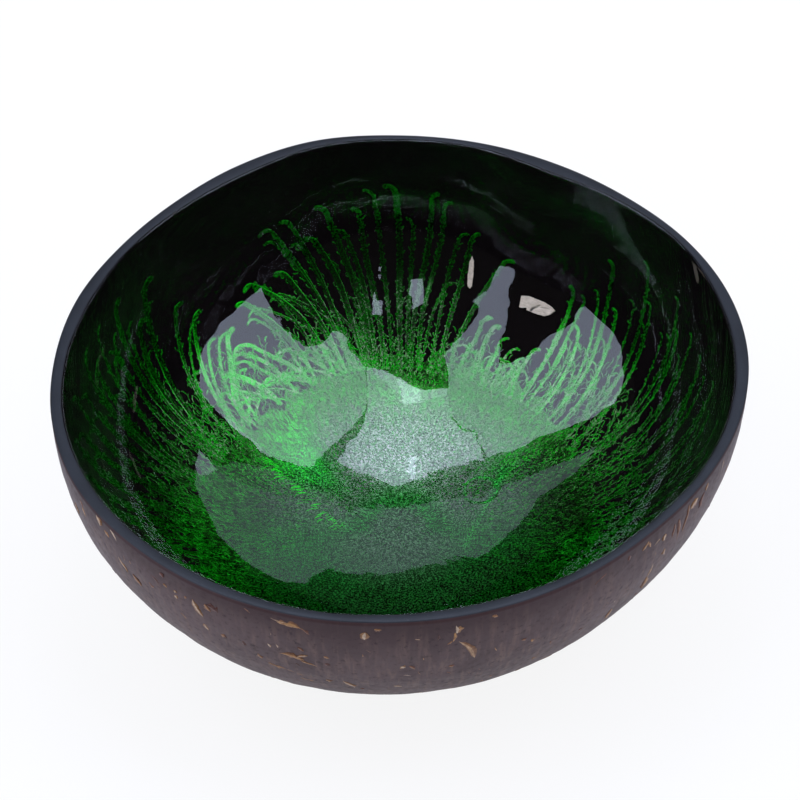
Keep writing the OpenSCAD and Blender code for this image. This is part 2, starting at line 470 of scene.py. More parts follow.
def green_metal(nodes, green, glint, moss, crests, spreads, flat_spread, roughened):
    """Lacquer full of metal flakes: most scatter the light, more or less widely, and where the moss
    is high they lie flat and mirror it. The gain sets how bright the green is, partly from thicker
    and thinner lacquer and partly as painted highlight and painted shade; where it is high the flat
    flakes are hidden, and some places have none."""
    gain = nodes.attribute("gain")
    # Flat flakes fade where the gain is high, which is thicker lacquer in some places and painted
    # highlight in others
    thin = nodes.minus(1.0, nodes.steps(gain, 1.1, 2.0))
    flat = nodes.times(nodes.steps(moss, *crests), thin)
    flat = nodes.times(flat, nodes.attribute("pale"))
    spread = nodes.tones(nodes.noise(2700, 2, 0.6), *spreads, 0.44, 0.56)
    return nodes.principled(
        Base_Color=nodes.mix(flat, nodes.mix(1.0, green, gain, "MULTIPLY"), glint),
        Metallic=1.0,
        Roughness=nodes.mix(flat, spread, (flat_spread,) * 3),
        Specular_Tint=(0.0, 0.3, 0.0),
        Normal=nodes.bump(moss, roughened, 0.05 * MM),
    )


def splash_material(name, dark, bright, glint, spreads, flat_spread):
    """Green metallic lacquer: darker in the hollows of the figure and brighter on its crests, as
    painted shade and painted highlight.
    """
    nodes = new_material(name)
    moss = nodes.noise(1800, 3, 0.7, 0.6)
    # Painted light by the relief: painted highlight on the ribbons' crests, painted shade in their
    # hollows
    painted_relief_light, tone = nodes.attribute("painted_relief_light"), nodes.attribute("tone")
    lift = nodes.plus(nodes.times(painted_relief_light, 0.5), nodes.times(tone, 0.5))
    level = nodes.times(lift, nodes.steps(nodes.noise(140, 4, 0.6), 0.1, 0.6))
    green = nodes.mix(level, dark, bright)
    return green_metal(nodes, green, glint, moss, (0.50, 0.58), spreads, flat_spread, 0.15)


def pool_material():
    """The pool's own figure: short strokes up the wall that grow finer towards the pole."""
    nodes = new_material("green_pool")
    moss = nodes.noise(2500, 3, 0.7, 0.5)
    centre = nodes.attribute("centre")
    figure = nodes.mix(centre, nodes.strokes(360, 42, 5, 0.7, 1.2), moss)
    fine = nodes.times(nodes.noise(2600, 2, 0.6), 0.25)
    level = nodes.steps(nodes.plus(figure, fine), 0.55, 0.75)
    outer = nodes.mix(level, (0.001, 0.012, 0.001), (0.007, 0.19, 0.006))
    inner = nodes.mix(level, (0.003, 0.030, 0.004), (0.02, 0.22, 0.03))
    glint = nodes.mix(centre, (0.03, 0.10, 0.02), (0.17, 0.14, 0.15))
    roughened = nodes.minus(0.35, nodes.times(nodes.attribute("pale"), 0.30))
    green = nodes.mix(centre, outer, inner)
    return green_metal(nodes, green, glint, moss, (0.44, 0.64), (0.14, 0.50), 0.13, roughened)


def clear_material():
    """Clear coat: light passes straight through it, and its outer face alone reflects."""
    nodes = new_material("clear_coat")
    normal = nodes.bump(nodes.noise(420, 2, 0.5), 0.12, 0.05 * MM)
    inputs = {"Color": (1, 1, 1), "Roughness": 0.02, "Normal": normal}
    mirror = nodes.add("BsdfAnisotropic", inputs, distribution="GGX")
    through = nodes.add("BsdfTransparent", {"Color": (0.97, 1.0, 0.975)})
    fresnel = nodes.add("Fresnel", {"IOR": 1.5, "Normal": normal})
    front = nodes.minus(1.0, nodes.add("NewGeometry", {}, "Backfacing"))
    return nodes.surface(nodes.either(nodes.times(fresnel, front), through, mirror))


def eggshell_material():
    nodes = new_material("eggshell")
    grain = nodes.noise(900, 4, 0.6, vector=nodes.scaled(nodes.place(), (1, 1, 2.5)))
    cream = nodes.tones(grain, (0.46, 0.37, 0.27), (0.64, 0.53, 0.40))
    return nodes.principled(
        Base_Color=nodes.mix(nodes.attribute("crack"), cream, (0.035, 0.025, 0.02)),
        Roughness=0.55,
        Normal=nodes.bump(grain, 0.3, 0.08 * MM),
    )


# Shell

def wall_uv(piece):
    """UV map whose U runs round the bowl and whose V runs down the wall, both about 0 to 1."""
    mesh = piece.data
    places = np.empty(len(mesh.vertices) * 3)
    mesh.vertices.foreach_get("co", places)
    x, y, z = places.reshape(-1, 3).T
    around = np.degrees(np.arctan2(y, x)) % 360 / 360
    inwards = 1 - unit(np.hypot(x, y) / (RIM_R * ring_value(RIM_SHARES, around * 360))) ** 2
    down = 0.5 * inwards + 0.5 * unit((RIM_Z - z) / SHELL_DEPTH)
    loops = np.empty(len(mesh.loops), int)
    mesh.loops.foreach_get("vertex_index", loops)
    sizes = np.empty(len(mesh.polygons), int)
    mesh.polygons.foreach_get("loop_total", sizes)
    # A face that spans azimuth 0 keeps its corners together
    u = around[loops]
    first = u[np.concatenate([[0], np.cumsum(sizes)[:-1]])]
    u = u - np.round(u - np.repeat(first, sizes))
    layer = mesh.uv_layers.new(name="wall")
    layer.uv.foreach_set("vector", np.stack([u, down[loops]], -1).ravel())


def eye_distance(azimuth, row, eye_azimuth=EYE_AZIMUTH):
    """Distance over the shell's skin from an eye's centre, in shares of the eye's radius."""
    gap = skin(azimuth, row, 0) - skin(eye_azimuth, EYE_ROW, 0)
    return np.linalg.norm(gap, axis=-1) / EYE_R


SHELL_COLUMNS, SHELL_ROWS = 480, 150
# Rings of points on the foot's face, in shares of its radius
FOOT_RINGS = (0.25, 0.5, 0.75, 0.93)
# Mean depth of the polished skin inside the solid's skin, height of an eye's lip, and depth of the
# plug's stub in the bore
POLISHED = 0.06 * MM
LIP = 0.25 * MM
STUB = 1.2 * MM


def eye_inset(azimuth, row, turn):
    """How far an eye lies inside the skin: a dimple with a raised lip, and the soft eye's bore."""
    distance = eye_distance(azimuth, row, EYE_AZIMUTH + turn)
    inset = EYE_DIMPLE * unit(1 - distance ** 2) - LIP * hump(distance - 1.2, 0.25)
    if turn == 0:
        inset = inset + STUB * unit((0.93 - distance) / 0.04)
    return inset


def make_shell():
    around = azimuths(SHELL_COLUMNS)
    waves = Ripples(3, 3 * MM, 16 * MM, 0.07 * MM)
    fibre = Ripples(5, 0.7 * MM, 2.2 * MM, 0.02 * MM)
    rows = rows_between(FOOT_ROW, 0, SHELL_ROWS)
    base = skin(around, rows, 0)
    uneven = waves.at(base) + fibre.at(base * (1, 1, 0.12))
    inset = POLISHED + uneven * unit(np.minimum(rows, FOOT_ROW - rows) / 0.02)
    for turn in (0, 120, 240):
        inset = inset + eye_inset(around, rows, turn)
    outer = skin(around, rows, np.maximum(inset, 0))
    foot = np.stack([outer[0] * (share, share, 0) for share in FOOT_RINGS])
    foot[..., 2] = 0
    outer[0, :, 2] = 0
    inner = on_wall(around, rows_between(0, HIDDEN_END, 60))
    piece = lofted("shell_body", np.concatenate([foot, outer, inner]), (0, 0, 0), on_wall(0, 1))
    # The rim band is painted shade: strongest at the rim, and gone a few rows down
    band = np.zeros(len(piece.data.vertices))
    first = foot[..., 0].size
    band[first:first + outer[..., 0].size] = (hump(rows, 0.05) * np.ones(SHELL_COLUMNS)).ravel()
    set_attribute(piece, "rim_band", band)
    wall_uv(piece)
    return finish_piece(piece, "coconut_shell", shell_material())


# Rings of the plug's face: share of its radius, and height in millimetres
PLUG_RINGS = ((0.3, 0), (0.6, 0.05), (0.85, 0.15), (0.97, 0.3), (1, 0.6), (1, 1.2))
PLUG_R = 0.9 * EYE_R


def make_plug():
    """The filler's face in the soft eye's dimple, on a short stub that goes up into the bore."""
    centre = Vector(skin(EYE_AZIMUTH, EYE_ROW, EYE_DIMPLE))
    up = Vector(inward(EYE_AZIMUTH, EYE_ROW))
    side = up.cross(Vector((0, 0, 1))).normalized()
    along = up.cross(side)
    grain = Ripples(9, 0.6 * MM, 2.5 * MM, 0.06 * MM)
    rings = []
    for share, lift in PLUG_RINGS:
        ring = []
        for angle in np.radians(azimuths(64)):
            spoke = side * math.cos(angle) + along * math.sin(angle)
            point = centre + spoke * PLUG_R * share
            rough = float(grain.at(np.array(point))) * (share < 1)
            ring.append(point + up * (lift * MM + rough))
        rings.append(ring)
    piece = lofted("plug_face", np.array(rings), centre, centre + up * STUB)
    return finish_piece(piece, "eye_plug", plug_material())


# Flecks: azimuth, drop below the rim in shares of the depth, length and width in millimetres, lean
# in degrees, and tone from 0, pale, over golden and reddish to 1, dark red
PHOTOGRAPHED_FLECKS = (
    (217, 0.03, 2.4, 1.3, -20, 0.1), (219, 0.06, 1.6, 0.8, -50, 0.3),
    (221, 0.03, 2.4, 1.5, -35, 0.05), (222, 0.17, 3.6, 0.8, -27, 0.1),
    (225, 0.20, 2.8, 1.0, -38, 0.45), (223, 0.11, 2.0, 0.7, 10, 0.6),
    (230, 0.10, 2.4, 1.1, -43, 0.8), (229, 0.16, 1.2, 0.5, 40, 0.6),
    (232, 0.10, 1.0, 0.5, -60, 0.3), (234, 0.13, 0.9, 0.7, -29, 0.0), (234, 0.10, 0.7, 0.5, 0, 0.1),
    (236, 0.10, 0.9, 0.5, 20, 0.5), (238, 0.13, 4.6, 1.0, -21, 0.1),
    (239, 0.23, 1.8, 0.9, -12, 0.1), (240, 0.10, 2.0, 0.8, -35, 0.45),
    (241, 0.09, 2.6, 1.3, -65, 0.85), (242, 0.24, 1.4, 0.9, 20, 0.5),
    (247, 0.03, 1.4, 0.6, -60, 0.6), (253.5, 0.05, 4.4, 2.0, -74, 0.35),
    (252, 0.04, 3.0, 0.5, -82, 0.1), (256, 0.07, 2.2, 0.7, -50, 0.6),
    (250.5, 0.12, 1.2, 0.7, -15, 0.2), (250, 0.20, 1.1, 0.8, -30, 0.05),
    (251.3, 0.19, 1.0, 0.6, -12, 0.1), (253.5, 0.24, 4.6, 1.3, -80, 0.35),
    (255, 0.23, 3.0, 0.5, 55, 0.1), (256, 0.27, 3.2, 0.5, -62, 0.3),
    (252, 0.36, 6.2, 0.9, -66, 0.4), (250, 0.35, 2.6, 0.5, -50, 0.3),
    (255, 0.42, 2.4, 0.8, -75, 0.35), (265, 0.066, 2.1, 1.0, 0, 0.05),
    (265.5, 0.15, 1.1, 0.7, -60, 0.3), (267, 0.03, 1.3, 0.6, -78, 0.35),
    (273, 0.09, 1.0, 0.5, -65, 0.2), (259, 0.21, 1.1, 0.6, -70, 0.3),
    (262, 0.42, 4.2, 1.0, -22, 0.1), (258.6, 0.40, 1.2, 1.0, -33, 0.3),
    (270.8, 0.26, 1.0, 0.9, -60, 0.0), (271.5, 0.325, 1.4, 1.0, -75, 0.0),
    (270, 0.43, 1.6, 0.9, -80, 0.1), (274, 0.21, 0.9, 0.6, 0, 0.4), (279, 0.06, 2.2, 1.2, 0, 0.05),
    (278.7, 0.10, 2.6, 1.0, 8, 0.35), (281, 0.19, 7.6, 1.0, -26, 0.25),
    (278, 0.13, 1.2, 0.5, 50, 0.4), (283.5, 0.36, 1.2, 0.9, -21, 0.65),
    (285, 0.03, 1.2, 0.6, -70, 0.4), (292, 0.25, 1.0, 0.8, -27, 0.35),
    (304, 0.06, 3.0, 0.4, 60, 0.65), (309, 0.27, 2.2, 0.7, 5, 0.1),
    (309.3, 0.38, 4.6, 0.9, -9, 0.3), (314, 0.05, 2.2, 0.7, 50, 0.3),
    (315, 0.06, 2.0, 0.6, -30, 0.3), (317, 0.08, 1.6, 0.6, 60, 0.15),
    (319, 0.09, 1.8, 0.9, 0, 0.05), (317.2, 0.15, 1.4, 0.5, 0, 0.3),
    (317.2, 0.24, 5.0, 0.8, 1, 0.2), (317.4, 0.33, 5.2, 1.6, -6, 0.35),
    (320, 0.19, 2.4, 0.9, -15, 0.15), (323, 0.12, 6.5, 0.8, -4, 0.55),
    (321.5, 0.10, 4.0, 0.7, -2, 0.6), (325, 0.10, 7.5, 0.7, 2, 0.5), (327, 0.06, 2.6, 1.5, 60, 0.1),
    (331, 0.05, 1.8, 1.3, 20, 0.25), (330, 0.10, 4.0, 1.6, 5, 0.65), (337, 0.08, 4.2, 1.0, 2, 0.05),
    (341, 0.16, 2.4, 0.8, 0, 0.2), (212, 0.09, 2.0, 0.9, -30, 0.3), (208, 0.16, 2.6, 0.8, -20, 0.2),
)
FLECK_SCATTER = 230
SCATTER_TONES = [0.05, 0.1, 0.2, 0.3, 0.4, 0.6]
# A fleck's sections, and how deep in the skin its edges and its root lie
FLECK_SECTIONS = 9
FLECK_EDGE = 0.10 * MM
FLECK_ROOT = 0.25 * MM
# Breadth of the halo in shares of the fleck's, and how deep its crown lies
HALO_BREADTH = 1.7
HALO_CROWN = 0.03 * MM


def fleck_list():
    random = np.random.default_rng(21)
    flecks = list(PHOTOGRAPHED_FLECKS)
    for _ in range(FLECK_SCATTER):
        azimuth, drop = random.uniform(0, 360), random.uniform(0.03, 0.93)
        # The photographed side has its own flecks, so the strewn ones there are faint
        faint = 205 < azimuth < 345 and drop < 0.55
        long = random.random() < 0.4 and not faint
        length = random.uniform(*((2, 6) if long else (0.7, 1.8)))
        width = random.uniform(*((0.5, 1.2) if long else (0.4, 0.9)))
        tone = random.uniform(0.4, 1) if faint else random.choice(SCATTER_TONES)
        flecks.append((azimuth, drop, length, width, random.normal(-15, 30), tone))
    return flecks


def fleck_path(azimuth, row, length, width, lean, random):
    """Middle of a fleck in the shell's skin, half its width and the skin's normals, by sections."""
    t = np.linspace(-1, 1, FLECK_SECTIONS)
    along = t * length / 2 * MM
    wander = 0.05 * length * MM * np.sin(2.3 * t + random.uniform(0, 6))
    half = 0.58 * width * MM * np.clip(1 - t ** 2, 0.02, 1) ** 0.7
    half = half * random.uniform(0.6, 1.15, FLECK_SECTIONS)
    angle = math.radians(lean)
    up = along * math.cos(angle) - wander * math.sin(angle)
    across = along * math.sin(angle) + wander * math.cos(angle)
    path = azimuth + np.degrees(across / (RIM_R * radius_share(row))), row_down(arc_at(row) - up)
    return skin(*path, 0), half, -inward(*path)


def make_flecks():
    """Tan fibre bundles that the polishing laid bare: thin lens-shaped slivers in the skin."""
    verts, faces, tones = [], [], []
    random = np.random.default_rng(22)
    for azimuth, drop, length, width, lean, tone in fleck_list():
        row = math.degrees(math.asin(drop ** (BASE_POWER / 2))) / 90
        if row > FOOT_ROW - 0.03:
            continue
        centre, half, normal = fleck_path(azimuth, row, length, width, lean, random)
        tangent = np.gradient(centre, axis=0)
        tangent /= np.linalg.norm(tangent, axis=1)[:, None]
        side = np.cross(normal, tangent) * half[:, None]
        # A browner halo lies under each pale core
        halo = HALO_BREADTH, HALO_CROWN, 0.45 + 0.4 * tone
        for breadth, crown, shade in (halo, (1, 0, tone)):
            first = len(verts)
            corners = ((breadth, FLECK_EDGE), (0, crown), (-breadth, FLECK_EDGE), (0, FLECK_ROOT))
            rings = [centre + side * across - normal * depth for across, depth in corners]
            verts.extend(np.stack(rings, 1).reshape(-1, 3))
            tones += [shade] * 4 * FLECK_SECTIONS
            for i in range(FLECK_SECTIONS - 1):
                for k in range(4):
                    a, b = first + 4 * i + k, first + 4 * i + (k + 1) % 4
                    faces.append([a, b, b + 4, a + 4])
            last = first + 4 * (FLECK_SECTIONS - 1)
            faces.append([first + k for k in (3, 2, 1, 0)])
            faces.append([last + k for k in range(4)])
    piece = add_mesh("shell_flecks", verts, faces)
    face_outwards(piece)
    set_attribute(piece, "tone", tones)
    return finish_piece(piece, "coconut_shell", fleck_material())


# Coats

# Section of the rim coat: share of its width, share of its height, and 1 where the edge is ragged
RIM_SECTION = (
    (0.00, -0.20, 0), (0.02, 0.05, 0), (0.07, 0.40, 0), (0.16, 0.70, 0), (0.30, 0.92, 0),
    (0.45, 1.00, 0), (0.62, 0.95, 0), (0.80, 0.76, 1), (0.93, 0.50, 1), (1.00, 0.25, 1),
    (1.00, -0.10, 1),
)
COAT_COLUMNS = 720


def make_rim_coat():
    around = azimuths(COAT_COLUMNS)
    width = wall(around, 0) + RIM_LAP
    # On the near side the sanding went a little into the coat's outer edge
    start = (0.04 + 0.2 * unit(-sine(around))) * MM
    ragged = Ripples(11, 1.2 * MM, 9 * MM, 0.05 * MM).at(skin(around, 0, 0))
    rings = []
    for across, lift, inner in RIM_SECTION:
        ring = skin(around, 0, start + across * (width - start) + inner * ragged)
        domed = 1 + 0.9 * ragged / MM * (lift > 0.9)
        ring[:, 2] = np.minimum(RIM_Z + lift * RIM_COAT_T * domed, RIM_Z + RIM_COAT_T)
        rings.append(ring)
    faces = grid_faces(len(rings) + 1, COAT_COLUMNS)
    # The last ring of faces closes on the first ring of points
    faces = (np.array(faces) % (len(rings) * COAT_COLUMNS)).tolist()
    piece = add_mesh("rim_band", rings, faces)
    face_outwards(piece)
    return finish_piece(piece, "rim_coat", rim_material())


def make_lining():
    around = azimuths(240)
    under = on_wall(around, rows_between(HIDDEN_END, 0, 60), 0.02 * MM)
    face = on_lacquer(around, rows_between(0, HIDDEN_END, 60))
    piece = lofted("lining", np.concatenate([under, face]), on_wall(0, 1), on_lacquer(0, 1))
    return finish_piece(piece, "black_lacquer_lining", black_lacquer_material())


# Radius of the ring that the plugged eye leaves in the coats, in shares of the eye's radius
EYE_MARK_R = 0.85


def eye_mark(azimuth, row):
    """Unevenness that the plugged eye leaves in the coats: a fine ring round a low swelling."""
    distance = eye_distance(azimuth, row)
    ring = hump(distance - EYE_MARK_R, 0.12)
    return 0.012 * MM * ring + 0.03 * MM * unit(1 - distance ** 2)


# Radius of the coat's rounded edge at the rim
CLEAR_EDGE_R = 0.22 * MM


def make_clear_coat():
    around = azimuths(COAT_COLUMNS)
    edge = []
    for angle in np.radians((90, 72, 54, 36, 18)):
        ring = on_lacquer(around, 0, CLEAR_T - CLEAR_EDGE_R * (1 - math.cos(angle)))
        ring[:, 2] -= CLEAR_EDGE_R * (1 - math.sin(angle))
        edge.append(ring)
    rows = rows_between(row_down(CLEAR_EDGE_R), FACE_END, 210)
    base = clear_face(around, rows)
    uneven = Ripples(31, 9 * MM, 26 * MM, 0.012 * MM).at(base)
    uneven = uneven + Ripples(32, 2.2 * MM, 6 * MM, 0.003 * MM).at(base)
    lift = uneven * unit(rows / 0.03) + eye_mark(around, rows)
    face = on_lacquer(around, rows, CLEAR_T + lift)
    under = on_lacquer(around, rows_between(HIDDEN_END, 0, 40), 0.01 * MM)
    rings = np.concatenate([under, edge, face])
    piece = lofted("clear_face", rings, on_lacquer(0, 1), face[-1].mean(0))
    return finish_piece(piece, "clear_coat", clear_material())


# Spots where the green is brighter or darker, partly where the lacquer lies thicker or thinner and
# partly as
# # painted highlight and painted shade: azimuth and row of the spot, how far it reaches in degrees
# and in rows,
# # and what it adds to the lacquer's brightness
GREEN_SPOTS = (
    (141, 0.79, 13, 0.10, 1.2), (80, 0.92, 55, 0.04, 0.3), (34, 0.78, 10, 0.07, 0.6),
    (205, 0.64, 16, 0.08, 0.5), (340, 0.64, 12, 0.07, 0.3), (6, 0.70, 14, 0.09, -0.65),
    (0, 0.42, 22, 0.16, -0.55), (270, 0.86, 60, 0.09, -0.15), (240, 0.75, 22, 0.07, -0.25),
    (88, 0.40, 24, 0.18, -0.62), (175, 0.45, 22, 0.18, -0.5), (172, 0.78, 12, 0.06, -0.4),
    (136, 0.48, 14, 0.09, 0.6), (131, 0.70, 11, 0.06, 0.5),
)


# Seams where flows of the lacquer met: places along them, their reach, and what they add
GREEN_SEAMS = (
    (((149, 0.72), (153, 0.815), (162, 0.885), (180, 0.935)), 1.0 * MM, 0.2),
    (((33, 0.79), (17, 0.865), (339, 0.90)), 0.8 * MM, 0.6),
)
# Green added along the plugged eye's ring, as a painted highlight
EYE_RING_ADDED = 0.5


def green_gain(azimuth, row):
    gain = 1.0
    # Spots of thicker and thinner lacquer, and of painted highlight and painted shade
    for spot_azimuth, spot_row, reach, row_reach, added in GREEN_SPOTS:
        turn = (azimuth - spot_azimuth + 180) % 360 - 180
        gain = gain + added * hump(turn, reach) * hump(row - spot_row, row_reach)
    points = skin(azimuth, row, 0)
    for places, reach, added in GREEN_SEAMS:
        nearest = np.full(points.shape[:-1], 1.0)
        for start, end in zip(places, places[1:]):
            start = skin(*start, 0)
            run = skin(*end, 0) - start
            share = unit((points - start) @ run / (run @ run))
            gap = np.linalg.norm(points - start - share[..., None] * run, axis=-1)
            nearest = np.minimum(nearest, gap)
        gain = gain + added * hump(nearest, reach)
    # Painted highlight: brighter green along the plugged eye's ring
    gain = gain + EYE_RING_ADDED * hump(eye_distance(azimuth, row) - EYE_MARK_R, 0.09)
    return np.clip(gain, 0.2, 2.5)


def paleness(azimuth, row):
    """Share of pale flakes: 1 on the far wall, less round the pole, and 0 elsewhere."""
    azimuth, row = np.broadcast_arrays(azimuth, row)
    far = unit(1.5 * sine(azimuth) + 0.3) * unit((row - 0.35) / 0.1)
    far = far * np.clip((0.955 - row) / 0.04, 0.1, 1)
    near = unit(-3 * sine(azimuth)) * unit((row - 0.87) / 0.09)
    pole = unit((row - 0.963) / 0.012)
    return np.maximum(far, 0.6 * np.maximum(near, pole))


# Splash. Each strand: azimuth and row of its tip, and azimuth of its root
STRANDS = (
    (20, 0.17, 13), (24, 0.20, 18), (27, 0.13, 19), (33, 0.20, 25), (36.5, 0.11, 29),
    (39.5, 0.28, 34), (44, 0.165, 38), (47.5, 0.30, 47), (50.5, 0.29, 49), (45.5, 0.38, 42),
    (54, 0.49, 55), (56.5, 0.53, 58), (59.5, 0.51, 60.5), (63, 0.50, 63), (66, 0.47, 67),
    (69, 0.46, 71), (67.5, 0.28, 74.5), (75, 0.24, 77.5), (77.5, 0.24, 80.5), (81, 0.16, 84),
    (83.5, 0.14, 86), (87, 0.22, 87.5), (90.5, 0.12, 89), (94.5, 0.135, 92), (97.5, 0.185, 94.5),
    (100.5, 0.24, 96), (104, 0.165, 97.5), (107, 0.24, 100), (111.5, 0.17, 102.5),
    (115.5, 0.17, 104), (114.5, 0.31, 106), (122.5, 0.295, 109.5), (119.5, 0.32, 111),
    (125.5, 0.335, 116), (128.5, 0.435, 117.5), (131.5, 0.44, 123.5), (137.5, 0.475, 130),
    (134, 0.39, 142), (136.5, 0.38, 144), (139.5, 0.285, 147), (143, 0.23, 151), (148.5, 0.11, 156),
    (153, 0.19, 158), (157.5, 0.09, 160), (161, 0.16, 163), (165, 0.09, 166), (169, 0.15, 170),
    (172, 0.09, 172), (176, 0.15, 175), (180, 0.10, 178), (184, 0.17, 181), (188, 0.14, 186),
    (192, 0.22, 190), (196, 0.18, 195), (200, 0.26, 200), (204, 0.20, 205), (208, 0.30, 209),
    (350, 0.20, 347), (354, 0.24, 350), (358, 0.18, 353), (3, 0.22, 357), (7, 0.17, 1),
    (11, 0.20, 5), (15, 0.18, 9),
)
# Row at which the strands part from the pool, and the highest row that any stroke reaches
ROOT_ROW = 0.64
HIGHEST_ROW = 0.015


def hidden_strands():
    """Strands of the near wall, which the photograph doesn't show, much like the others."""
    random = np.random.default_rng(41)
    made = []
    for azimuth in np.arange(212, 348, 3.6):
        tip = azimuth + 5 * sine(5 * (azimuth - 95)) + random.normal(0, 0.8)
        made.append((tip, random.uniform(0.10, 0.36), azimuth))
    return made


def wander(azimuth, row, heading, turns, length):
    """Paths over the lacquer, as azimuths and rows. Heading 0 is up the wall, in radians, and it
    changes by one of the turns after each step."""
    azimuth, row = np.array(azimuth, float), np.array(row, float)
    path, stride = [(azimuth, row)], length / len(turns)
    for turn in turns:
        reach = RIM_R * ring_value(RIM_SHARES, azimuth) * radius_share(row) - LACQUER_T
        azimuth = azimuth + np.degrees(np.sin(heading) * stride / np.maximum(reach, 2 * MM))
        row = np.clip(row_down(arc_at(row) - np.cos(heading) * stride), HIGHEST_ROW, FACE_END)
        heading = heading + turn
        path.append((azimuth, row))
    return (np.stack(values, -1) for values in zip(*path))


class Ribbons:
    """Many raised ribbons on the lacquer, each a closed mesh, joined in one piece."""

    def __init__(self):
        self.verts, self.faces, self.count = [], [], 0
        self.values = {"painted_relief_light": [], "tone": [], "gain": [], "pale": []}

    def add(self, path, half, lift, tone, section, boost=0):
        """section lists (across, up, light) points: across and up in shares of the half width and
        the lift, and light from painted shade in the hollows to painted highlight on the crests.
        The boost is added to the lacquer's gain."""
        azimuth, row = path
        n, k = azimuth.shape
        centre = on_lacquer(azimuth, row)
        normal = inward(azimuth, row)
        tangent = np.gradient(centre, axis=1)
        tangent /= np.linalg.norm(tangent, axis=-1)[..., None] + 1e-12
        side = np.cross(normal, tangent) * half[..., None]
        rise = normal * np.broadcast_to(lift, half.shape)[..., None]
        rings = np.stack([centre + side * across + rise * up for across, up, _ in section], 2)
        c = len(section)
        starts = self.count + np.arange(n)[:, None, None] * k * c
        corner = np.arange(c)
        a = starts + np.arange(k - 1)[:, None] * c + corner
        b = a - corner + (corner + 1) % c
        self.faces += np.stack([a, b, b + c, a + c], -1).reshape(-1, 4).tolist()
        self.faces += (starts[:, 0] + corner[::-1]).tolist()
        self.faces += (starts[:, 0] + (k - 1) * c + corner).tolist()
        self.verts.append(rings.reshape(-1, 3))
        self.count += n * k * c
        # Painted highlight and painted shade that follow the section's relief
        painted_relief_light = [corner[2] for corner in section]
        gain, pale = green_gain(azimuth, row) + boost, paleness(azimuth, row)
        values = painted_relief_light, np.reshape(tone, (n, 1, 1)), gain[..., None], pale[..., None]
        for made, value in zip(self.values.values(), values):
            made.append(np.broadcast_to(value, (n, k, c)).ravel())

    def made(self, name, material):
        piece = add_mesh(name, np.concatenate(self.verts), self.faces)
        face_outwards(piece)
        for key, values in self.values.items():
            set_attribute(piece, key, np.concatenate(values))
        return finish_piece(piece, "green_splash", material)


# Sections of the ribbons: across, up and light, across and up in shares of the half width and of
# the lift,
# # and light from painted shade in the hollows to painted highlight on the crests
BLADE_SECTION = (
    (-1, -0.4, 0.4), (-0.86, 0.6, 0.9), (-0.7, 1, 1), (-0.42, 0.75, 0.5), (0.42, 0.75, 0.5),
    (0.7, 1, 1), (0.86, 0.6, 0.9), (1, -0.4, 0.4),
)
CURL_SECTION = ((-1, -0.4, 0.2), (-0.55, 0.75, 0.7), (0, 1, 1), (0.55, 0.75, 0.7), (1, -0.4, 0.2))


def leftness(azimuth):
    """From 0 on the right to 1 on the left, where strands are broader and their hooks longer."""
    return 0.5 + 0.5 * sine(azimuth - 60)


# Steps along a strand's stem and along the hook at its tip
STEM_STEPS, HOOK_STEPS = 56, 14


def stem_paths(strands, random):
    """Blades from root to tip, then a hook that curls over to the side the blade leans to."""
    tip_azimuth, tip_row, root_azimuth = (np.array(v, float)[:, None] for v in zip(*strands))
    count = len(strands)
    t = np.linspace(0, 1, STEM_STEPS)
    bend = random.uniform(1.2, 1.9, count)[:, None]
    wave = random.normal(0, 0.3, count)[:, None] * np.sin(2 * np.pi * t)
    lean = (tip_azimuth - root_azimuth + 180) % 360 - 180
    length = (1.4 + 2.8 * leftness(tip_azimuth[:, 0])) * random.uniform(0.8, 1.2, count) * MM
    room = 0.6 * length[:, None] / ARC_LENGTHS[-1]
    azimuth = root_azimuth + lean * t ** bend + wave
    row = ROOT_ROW + (tip_row + room - ROOT_ROW) * t
    side = np.sign(random.normal(size=count))
    side = np.where(np.abs(lean[:, 0]) > 0.8, np.sign(lean[:, 0]), side)
    run = np.radians(azimuth[:, -1] - azimuth[:, -2]) * RIM_R * radius_share(row[:, -1])
    arc = arc_at(row)
    heading = np.arctan2(run, arc[:, -2] - arc[:, -1])
    turn = side * np.radians(random.uniform(75, 115, count)) / HOOK_STEPS
    hook = wander(azimuth[:, -1], row[:, -1], heading, [turn] * HOOK_STEPS, length)
    return [np.concatenate([stem, part[:, 1:]], 1) for stem, part in zip((azimuth, row), hook)]


# Hooks along the strands: azimuths, and the hooks' spacing and size there in millimetres
HOOK_AZIMUTHS = (0, 60, 68, 103, 108, 200, 240, 360)
HOOK_SPACINGS = (3.2, 3.2, 1.5, 1.5, 3.2, 3.2, 3.0, 3.2)
HOOK_SIZES = (0.8, 0.8, 0.9, 0.9, 1.4, 1.4, 1.0, 0.8)


# Half widths of hooks and curls along their length, in shares
HOOK_TAPER = (1.3, 1.1, 0.95, 0.9, 1, 1, 0.45)
CURL_TAPER = (0.5, 1, 1, 0.95, 0.85, 0.4)


